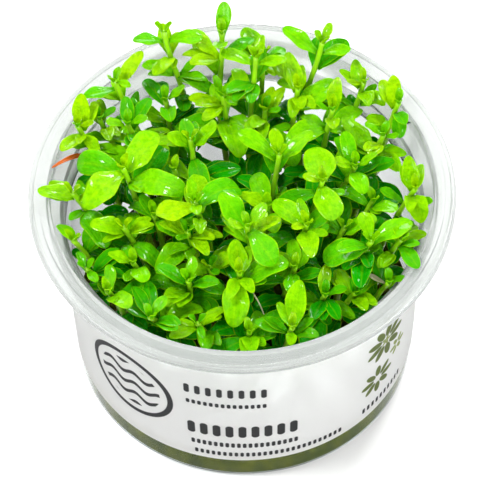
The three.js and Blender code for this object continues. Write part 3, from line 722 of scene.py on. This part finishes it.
def settle(leaf, owner):
    """The leaf as it finds room: it swings, then tilts, then stays smaller, or doesn't grow."""
    for shrink in SHRINKS:
        for swing, tilt in SWINGS:
            off_side = (leaf["azimuth"] + swing - leaf["facing"] + 540) % 360 - 180
            if abs(off_side) > MOST_OFF_SIDE:
                continue
            tried = dict(
                leaf, azimuth=leaf["azimuth"] + swing, rise=min(leaf["rise"] + tilt, STEEPEST),
                droop=min(leaf["droop"] + tilt, STEEPEST - 4), length=leaf["length"] * shrink,
                width=leaf["width"] * shrink)
            samples = leaf_samples(tried)
            if is_clear(samples, leaf, owner):
                remember(samples.reshape(-1, 3), owner, SAMPLE_ALONG, 0.0)
                return tried
    return None


def wanted_leaf(owner, pair, side):
    """The leaf that a shoot would grow at a pair and side if it had room."""
    tip, turn, size, joint, own = SHOOTS[owner]
    drop, length, rise, droop = PAIRS[pair]
    node = node_height(owner, pair)
    facing = turn + 90 * pair + 180 * side
    leaf = {"base": stem_path(owner, np.array(node)), "pair": pair, "node": node, "by_hand": False,
            "is_side": False, "facing": facing, "owner": owner, "side": side}
    vary = partial(spread, owner, pair, side)
    for row in own:
        if row[:2] == (pair, side):
            azimuth, length, width, rise, droop = row[2:]
            return dict(leaf, azimuth=azimuth, length=length, width=width, rise=rise, droop=droop,
                        curl=HAND_CURL, roll=10 * vary(13), by_hand=True)
    # The head of a shoot leans one way, so its leaves on that side hang and the others stand up.
    lean = HEAD_LEAN * (0.6 + 0.4 * spread(owner, 0, 0, 23))
    from_lean = radians(facing - 180 * spread(owner, 0, 0, 22))
    length = length * size * (1 + 0.24 * vary(2))
    return dict(leaf, azimuth=facing + 26 * vary(1), length=length,
                width=length * (0.5 + 0.09 * vary(3)),
                rise=rise + 16 * vary(4) - lean * np.cos(from_lean),
                droop=max(LOWEST_DROOP, droop + 26 * vary(5) - lean * np.cos(from_lean)),
                curl=0.38 + 0.2 * vary(6), roll=14 * vary(13) + 0.8 * lean * np.sin(from_lean))


def side_leaf(owner, pair, side, hand):
    """A small young leaf that starts in the corner between a stem and a leaf of one of its pairs,
    on the left or the right hand of that leaf."""
    first = 38 if hand > 0 else 30

    def vary(measure):
        return spread(owner, pair, side, first + measure)

    leaf = wanted_leaf(owner, pair, side)
    return dict(leaf, by_hand=False, is_side=True,
                azimuth=leaf["facing"] + hand * (34 + 6 * vary(1)),
                length=7.0 + 2.0 * vary(2), width=3.5 + 0.9 * vary(3), rise=54 + 10 * vary(4),
                droop=14 + 28 * vary(5), curl=0.4, roll=18 * vary(6))


for owner, shoot in enumerate(SHOOTS):
    heights = np.arange(GEL_TOP, shoot[0][2] + 0.5, 1.0)
    remember(stem_path(owner, heights), owner, 0.0, STEM_CLEARANCE)

# The leaves listed one by one grow first, then the others of the upper pairs, then the lower pairs.
LOWEST_NODE = GEL_TOP + 4
leaves_of = [[] for shoot in SHOOTS]
for pairs, by_hand in ((range(SOLID_PAIRS), True), (range(SOLID_PAIRS), False),
                       (range(SOLID_PAIRS, len(PAIRS)), False)):
    for pair in pairs:
        for owner in range(len(SHOOTS)):
            for side in (0, 1):
                leaf = wanted_leaf(owner, pair, side)
                if leaf["by_hand"] != by_hand or leaf["node"] < LOWEST_NODE:
                    continue
                settled = settle(leaf, owner)
                if settled:
                    leaves_of[owner].append(settled)

# Then small leaves fill in beside them. Each row: the pair they start at, and their hand.
SIDE_GROWTH = ((2, 1), (3, 1), (1, 1), (2, -1), (4, 1), (3, -1), (1, -1), (5, 1), (4, -1))
SIDE_GROWTH_BELOW = 69
for pair, hand in SIDE_GROWTH:
    for owner, shoot in enumerate(SHOOTS):
        if pair == 1 and shoot[0][2] > SIDE_GROWTH_BELOW:
            continue
        for side in (0, 1):
            leaf = side_leaf(owner, pair, side, hand)
            settled = settle(leaf, owner) if leaf["node"] > LOWEST_NODE else None
            if settled:
                leaves_of[owner].append(settled)

# Three leaves have died back: one on the left to a thin orange strip that hangs out over the rim,
# one on the right to a dark twig, and one in front to a pale scrap. Each: its shoot, its height on
# the stem, azimuth, length, width, rise, droop, and 1 for orange, 2 for dark or 3 for pale.
DEAD_LEAVES = (
    (3, 56.6, 206, 14.3, 1.5, 55, 0, 1.0),
    (9, 61.0, -38, 6.2, 1.0, 45, 35, 2.0),
    (46, 57.5, 170, 4.5, 1.5, 30, 0, 3.0),
)
for owner, height, azimuth, length, width, rise, droop, look in DEAD_LEAVES:
    dead_leaf = settle(
        dict(wanted_leaf(owner, 2, 0), base=stem_path(owner, np.array(height)), by_hand=True,
             is_side=True, facing=azimuth, azimuth=azimuth, length=length, width=width, rise=rise,
             droop=droop, curl=0.3, roll=0, withered=look), owner)
    if dead_leaf:
        leaves_of[owner].append(dead_leaf)

# One root has grown from a stem into the air at the front: where it starts on its stem, the point
# that it heads for at first, and its end.
FREE_ROOT_ON, FREE_ROOT_HEIGHT = 27, 58.0
FREE_ROOT_TOWARDS, FREE_ROOT_END = (3.2, -25.6, 58.0), (5.2, -32.6, 52.8)

LEAF_ROWS, LEAF_LOOP = 15, 20
LEAF_THICKNESS = 0.42
WIDEST, WIDEST_VARIES = 0.54, 0.10
BLUNTNESS, BLUNTNESS_VARIES = 1.75, 0.45
BASE_WIDTH = 0.34
ALMOST_TIP = 0.999
RIB_WIDTH, RIB_DEPTH = 0.22, 0.30
UNEVEN, WAVE, DRIFT = 0.10, 0.13, 0.06
FOLD_POWER = 1.25
YOUNG_BREADTH = 1.12
# A leaf of the bud at the tip. It starts nearer the stem's middle than a common leaf.
BUD_LEAF = {"length": 4.0, "width": 1.9, "rise": 84, "droop": 42, "curl": 0.55, "roll": 0,
            "start": 0.25}
BUD_DROP = 0.8


def leaf_skin(leaf):
    """A leaf as a closed skin: a lens-shaped section carried along the midrib. Its half width is a
    quarter sine from a narrowed base to the widest place and a rounded one on to the tip, and one
    side swells where the other draws in. The blade folds up from its midrib, which is a groove
    above and a keel below, and waves at its margin."""
    vary = partial(spread, leaf["owner"], leaf["pair"], leaf["side"])
    if leaf["pair"] == 0:
        leaf = dict(leaf, width=leaf["width"] * YOUNG_BREADTH)
    widest = WIDEST + WIDEST_VARIES * vary(7)
    bluntness = BLUNTNESS + BLUNTNESS_VARIES * vary(8)
    along = np.sin(np.linspace(0, np.pi / 2, LEAF_ROWS))[:, None] * ALMOST_TIP
    near = np.sin(np.pi / 2 * np.clip(along / widest, 0, 1)) ** 1.4
    near = BASE_WIDTH + (1 - BASE_WIDTH) * near
    beyond = np.clip((along - widest) / (1 - widest), 0, 1)
    half = leaf["width"] / 2 * np.where(along < widest, near, np.sqrt(1 - beyond ** bluntness))
    taper = np.sqrt(np.clip(half / (leaf["width"] / 2), 0.05, 1))
    around = np.linspace(0, 2 * np.pi, LEAF_LOOP, endpoint=False)[None, :]
    across, hand = np.cos(around), np.sign(np.cos(around))
    half = half * (1 + UNEVEN * hand * np.sin(4.2 * along + 3 * vary(14)) - UNEVEN / 2)

    depth = LEAF_THICKNESS / 2 * np.abs(np.sin(around)) ** 0.8 * np.sign(np.sin(around))
    rib = np.exp(-(across / RIB_WIDTH) ** 2)
    groove = -RIB_DEPTH * rib * (1 - 0.7 * along) * (np.sin(around) > -0.5)
    keel = -RIB_DEPTH * rib * (1 - 0.9 * along) * (np.sin(around) <= -0.5)
    margin = WAVE * half * across ** 2
    ripple = margin * np.sin(2 * np.pi * (1.6 * along + vary(9)) + 2 * hand)
    lift = leaf["curl"] * half * np.abs(across) ** FOLD_POWER + ripple - margin
    lift = lift + (depth - LEAF_THICKNESS / 2 + groove + keel) * taper
    drift = DRIFT * leaf["length"] * vary(10) * along ** 2
    grid = on_leaf(leaf, along + 0 * around, half * across + drift, lift)
    fields = {"across": across + 0 * along,
              "tone": np.full(grid.shape[:2], 0.5 + 0.5 * vary(11)),
              "low": np.full(grid.shape[:2], leaf["pair"] / (len(PAIRS) - 1)),
              "withered": np.full(grid.shape[:2], leaf.get("withered", 0.0))}
    return grid, fields


def tube(path, radius, loop):
    """A round section of changing radius carried along a path, square to it at each point."""
    ahead = np.gradient(path, axis=0)
    ahead /= np.linalg.norm(ahead, axis=1)[:, None]
    sideways = np.cross(ahead, (0.31, 0.95, 0.07))
    sideways /= np.linalg.norm(sideways, axis=1)[:, None]
    upward = np.cross(ahead, sideways)
    angle = np.linspace(0, 2 * np.pi, loop, endpoint=False)[None, :, None]
    ring = np.cos(angle) * sideways[:, None] + np.sin(angle) * upward[:, None]
    return path[:, None] + radius[:, None, None] * ring


def tube_fields(grid):
    """The fields of a leaf for the points of a stem or root, whose materials don't use them."""
    flat = np.zeros(grid.shape[:2])
    return {"across": flat, "tone": flat, "low": flat, "withered": flat}


STEM_LOOP, STEM_STEP = 12, 0.9
STEM_RADIUS_LOW, STEM_RADIUS_TOP = 0.98, 0.56
STEM_ENDS_BELOW_TIP = 0.4
NODE_SWELL, NODE_REACH = 0.16, 0.8


def stem_skin(owner):
    """The stem: a tube that tapers upwards and swells a little at each pair of leaves."""
    top = SHOOTS[owner][0][2]
    height = np.concatenate([np.arange(ROOT_END, top - 1.2, STEM_STEP),
                             [top - 0.75, top - STEM_ENDS_BELOW_TIP]])
    share = (height - GEL_TOP) / (top - GEL_TOP)
    radius = STEM_RADIUS_LOW + (STEM_RADIUS_TOP - STEM_RADIUS_LOW) * share
    nodes = np.array([node_height(owner, pair) for pair in range(len(PAIRS))])[:, None]
    swell = np.exp(-((height[None] - nodes) / NODE_REACH) ** 2).sum(0)
    radius = radius * (1 + NODE_SWELL * swell)
    radius[0] *= 0.6
    radius[-1] *= 0.35
    return tube(stem_path(owner, height), radius, STEM_LOOP)


ROOTS_EACH, ROOT_STEPS, ROOT_LOOP = 4, 22, 6
ROOT_RADIUS, FREE_ROOT_RADIUS = 0.26, 0.24
GEL_SKIN_RADIUS = 39.9


def root_skins(owner):
    """Fine roots: each leaves the foot of the stem, bows out to the skin of the gel by a sine and
    runs on round it, sinking evenly."""
    foot = stem_path(owner, np.array(ROOT_END + 1.0))
    start_radius, start_turn = np.hypot(foot[0], foot[1]), np.arctan2(foot[1], foot[0])
    share = np.linspace(0, 1, ROOT_STEPS)
    outward = np.sin(np.pi / 2 * np.clip(share * 1.7, 0, 1))
    skins = []
    for number in range(ROOTS_EACH):
        vary = partial(spread, owner, number, 1)
        reach = (GEL_SKIN_RADIUS - start_radius) * outward * (0.985 + 0.015 * vary(1))
        radius = start_radius + reach
        turn = start_turn + radians(26 * vary(2)) * share ** 1.5
        turn = turn + radians(2) * np.sin(9 * share + 3 * vary(3))
        end_height = 3.0 + 3.5 * (vary(4) + 1) / 2
        height = foot[2] + (end_height - foot[2]) * share + 0.5 * np.sin(7 * share + vary(5))
        path = np.stack([radius * np.cos(turn), radius * np.sin(turn), height], -1)
        skins.append(tube(path, ROOT_RADIUS * (1 - 0.6 * share), ROOT_LOOP))
    return skins


def free_root():
    """A fine root on a parabola: it leaves its stem towards one point and ends at another."""
    share = np.linspace(0, 1, 16)[:, None]
    start = stem_path(FREE_ROOT_ON, np.array(FREE_ROOT_HEIGHT))
    path = (1 - share) ** 2 * start + 2 * share * (1 - share) * np.array(FREE_ROOT_TOWARDS)
    path = path + share ** 2 * np.array(FREE_ROOT_END)
    return tube(path, FREE_ROOT_RADIUS * (1 - 0.5 * share[:, 0]), ROOT_LOOP)


LEAF_YOUNG = (0.43, 0.74, 0.0005, 1.0)
LEAF_FULL = (0.175, 0.66, 0.0005, 1.0)
# Painted shade: the deep green is the colour of old leaves and also shade, low in the canopy and in
# the mottle.
LEAF_OLD_AND_SHADE = (0.006, 0.37, 0.0005, 1.0)
# The edge colour is the paler midrib and veins, and a painted highlight along the margin.
LEAF_EDGE_HIGHLIGHT_AND_RIB = (0.50, 0.82, 0.004, 1.0)
LEAF_THROUGH = 0.38
VEIN_STEP = 0.14
STEM_TOP = (0.25, 0.58, 0.004, 1.0)
STEM_LOW = (0.17, 0.20, 0.03, 1.0)
ROOT_PALE = (0.62, 0.60, 0.36, 1.0)
RUST = (0.90, 0.20, 0.02, 1.0)
TWIG_DARK = (0.03, 0.05, 0.02, 1.0)


def attribute(tree, name):
    """The value of one of a leaf's fields."""
    return add_node(tree, "ShaderNodeAttribute", {"attribute_name": name}).outputs["Fac"]


def wet_leaf():
    """Leaf: yellow-green when young and high up and deeper green below, partly its age and partly
    painted light above and painted shade below; mottled, partly its own mottle and partly painted
    shade of its crinkles; with fine lengthwise veins, a paler midrib, a painted highlight along the
    margin, a wet shine in patches, and light coming through."""
    material = plain_material("bacopa_leaf", LEAF_FULL, IOR=1.33, Coat_Roughness=0.04,
                              Coat_IOR=1.34, Specular_IOR_Level=0.05)
    tree = material.node_tree
    shader = tree.nodes["Principled BSDF"]
    place = add_node(tree, "ShaderNodeTexCoord").outputs["Object"]
    height = add_node(tree, "ShaderNodeSeparateXYZ", Vector=place).outputs["Z"]
    across, tone, low, withered = (
        attribute(tree, name) for name in ("across", "tone", "low", "withered"))
    crinkles_and_painted_shade = noise(tree, place, 760.0, 4.0, 0.62)
    broad = noise(tree, place, 60.0, 2.0)
    wet = noise(tree, place, 150.0, 3.0)

    # A leaf is younger and yellower the nearer its pair is to the tip, and leaves differ. It is
    # also
    # yellower the higher it is: partly age, partly painted light on the top and painted shade
    # below.
    youth_and_painted_light = ranged(tree, height, 0.040, 0.074, 0.0, 0.72)
    youth_and_painted_light = maths(tree, "ADD", youth_and_painted_light, ranged(tree, tone, 0.0, 1.0, -0.36, 0.38))
    youth_and_painted_light = maths(tree, "ADD", youth_and_painted_light, ranged(tree, low, 0.0, 0.6, 0.12, -0.25))
    youth_and_painted_light = maths(tree, "ADD", youth_and_painted_light, ranged(tree, broad, 0.3, 0.7, -0.10, 0.10))
    youth_and_painted_light = ranged(tree, youth_and_painted_light, 0.0, 1.0)
    grown = colour_mix(tree, ranged(tree, youth_and_painted_light, 0.0, 0.45), LEAF_OLD_AND_SHADE, LEAF_FULL)
    blade = colour_mix(tree, ranged(tree, youth_and_painted_light, 0.35, 1.0), grown, LEAF_YOUNG)

    # Paler lines: a painted highlight along the margin, where the edge catches light, the midrib,
    # and veins at even steps from the midrib.
    beside = maths(tree, "ABSOLUTE", across)
    margin = ranged(tree, beside, 0.86, 0.97, 0.0, 0.62)
    rib = ranged(tree, beside, 0.14, 0.0, 0.0, 0.20)
    from_vein = maths(tree, "PINGPONG", maths(tree, "ADD", beside, VEIN_STEP), VEIN_STEP)
    vein = ranged(tree, from_vein, 0.05, 0.0)
    light = maths(tree, "MAXIMUM", maths(tree, "MAXIMUM", margin, rib),
                  maths(tree, "MULTIPLY", vein, 0.08))
    blade = colour_mix(tree, light, blade, LEAF_EDGE_HIGHLIGHT_AND_RIB)
    # Painted shade: this noise darkens patches of the blade towards the deep green, for the shade
    # of its crinkles as well as its own mottle.
    blade = colour_mix(tree, ranged(tree, crinkles_and_painted_shade, 0.38, 0.60, 0.32, 0.0), blade, LEAF_OLD_AND_SHADE)

    dead = colour_mix(tree, ranged(tree, withered, 1.0, 2.0), RUST, TWIG_DARK)
    dead = colour_mix(tree, ranged(tree, withered, 2.0, 3.0), dead, ROOT_PALE)
    blade = colour_mix(tree, ranged(tree, withered, 0.0, 1.0), blade, dead)
    tree.links.new(blade, shader.inputs["Base Color"])

    tree.links.new(ranged(tree, wet, 0.40, 0.60, 0.45, 0.22), shader.inputs["Roughness"])
    tree.links.new(ranged(tree, wet, 0.47, 0.53, 0.0, 0.85), shader.inputs["Coat Weight"])
    relief = maths(tree, "MULTIPLY_ADD", crinkles_and_painted_shade, 1.5, maths(tree, "MULTIPLY", vein, 0.15))
    relief = maths(tree, "MULTIPLY_ADD", wet, 2.4, relief)
    raise_surface(tree, relief, 0.9, 0.0007)
    let_light_through(tree, blade, LEAF_THROUGH)
    return material


def juicy_stem():
    """Stem: yellow-green and faintly streaked, and olive brown low down, with a soft shine."""
    material = plain_material("bacopa_stem", STEM_TOP, Roughness=0.32, IOR=1.4,
                              Coat_Weight=0.3, Coat_Roughness=0.08)
    tree = material.node_tree
    place = add_node(tree, "ShaderNodeTexCoord").outputs["Object"]
    height = add_node(tree, "ShaderNodeSeparateXYZ", Vector=place).outputs["Z"]
    drawn = add_node(tree, "ShaderNodeMapping", Vector=place, Scale=(1.0, 1.0, 0.12)).outputs[0]
    streak = noise(tree, drawn, 900.0, 3.0)
    colour = colour_mix(tree, ranged(tree, height, 0.014, 0.052), STEM_LOW, STEM_TOP)
    colour = colour_mix(tree, ranged(tree, streak, 0.45, 0.75, 0.0, 0.45), colour, STEM_LOW)
    tree.links.new(colour, tree.nodes["Principled BSDF"].inputs["Base Color"])
    raise_surface(tree, streak, 0.3, 0.0001)
    return material


SHOOT_MATERIALS = [
    wet_leaf(), juicy_stem(), plain_material("bacopa_root", ROOT_PALE, Roughness=0.5)]
LEAF_PICK, STEM_PICK, ROOT_PICK = 0, 1, 2

for owner, shoot in enumerate(SHOOTS):
    stem = stem_skin(owner)
    bud_foot = stem_path(owner, np.array(shoot[0][2] - BUD_DROP))
    buds = [dict(BUD_LEAF, base=bud_foot, pair=0, owner=owner, side=side,
                 azimuth=shoot[1] + 90 + 180 * side) for side in (0, 1)]
    blades = [leaf_skin(leaf) for leaf in leaves_of[owner] + buds]
    roots = root_skins(owner) + ([free_root()] if owner == FREE_ROOT_ON else [])
    grown = [(stem, tube_fields(stem))] + blades + [(root, tube_fields(root)) for root in roots]
    picks = [STEM_PICK] + [LEAF_PICK] * len(blades) + [ROOT_PICK] * len(roots)
    fields = {name: [values[name] for skin, values in grown] for name in grown[0][1]}
    plant = add_piece(f"bacopa_shoot_{owner + 1:02d}", [skin for skin, values in grown],
                      SHOOT_MATERIALS, fields, picks)
    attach(plant, "root")
    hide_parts(f"shoot_{owner + 1:02d}")
